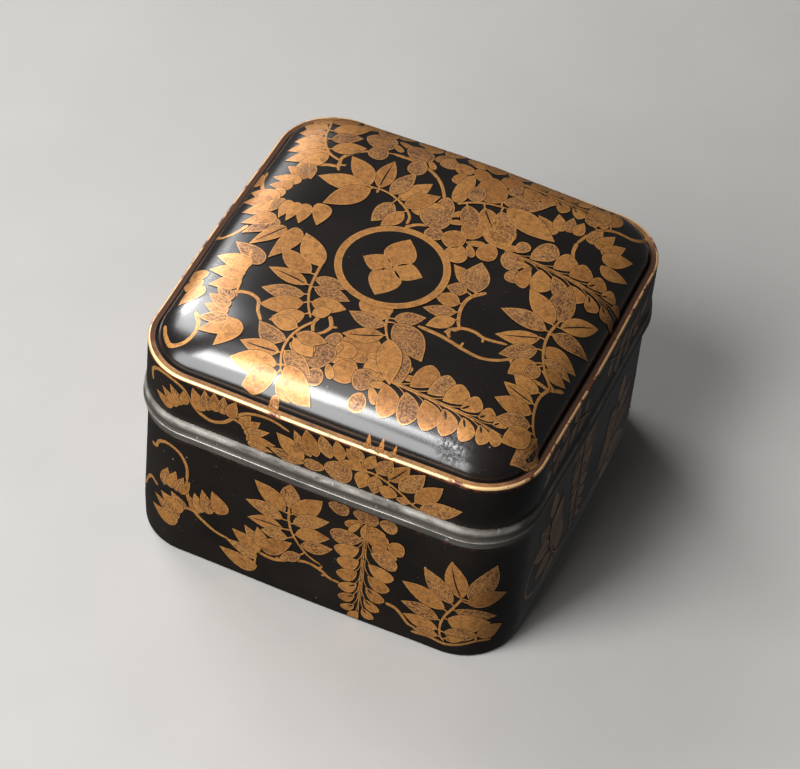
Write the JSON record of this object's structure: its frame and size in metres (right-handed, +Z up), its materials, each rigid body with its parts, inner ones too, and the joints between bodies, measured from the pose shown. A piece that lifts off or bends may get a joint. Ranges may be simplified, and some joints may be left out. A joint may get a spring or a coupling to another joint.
{
  "type": "lacquer incense box",
  "caption": "Square lacquered wooden box with rounded corners, metal rims and a lift-off domed lid, decorated with gold leaf sprays and hanging blossoms.",
  "frame": {"origin": "middle of the underside, on the surface that the box stands on", "axes": "+Z up through the lid; -Y is the decorated front side and +X the side to its right"},
  "size_m": [0.1034, 0.1034, 0.072],
  "materials": {
    "lacquer": "brown-black polished lacquer over wood, lightly worn",
    "pewter": "soft grey metal with fine scratches and small dents",
    "gold": "satin gold powder in lacquer, flush with the surface"
  },
  "bodies": {
    "root": {"body": "lacquer", "body_rim": "pewter", "lid_rim": "pewter", "lid": "lacquer"}
  },
  "joints": []
}
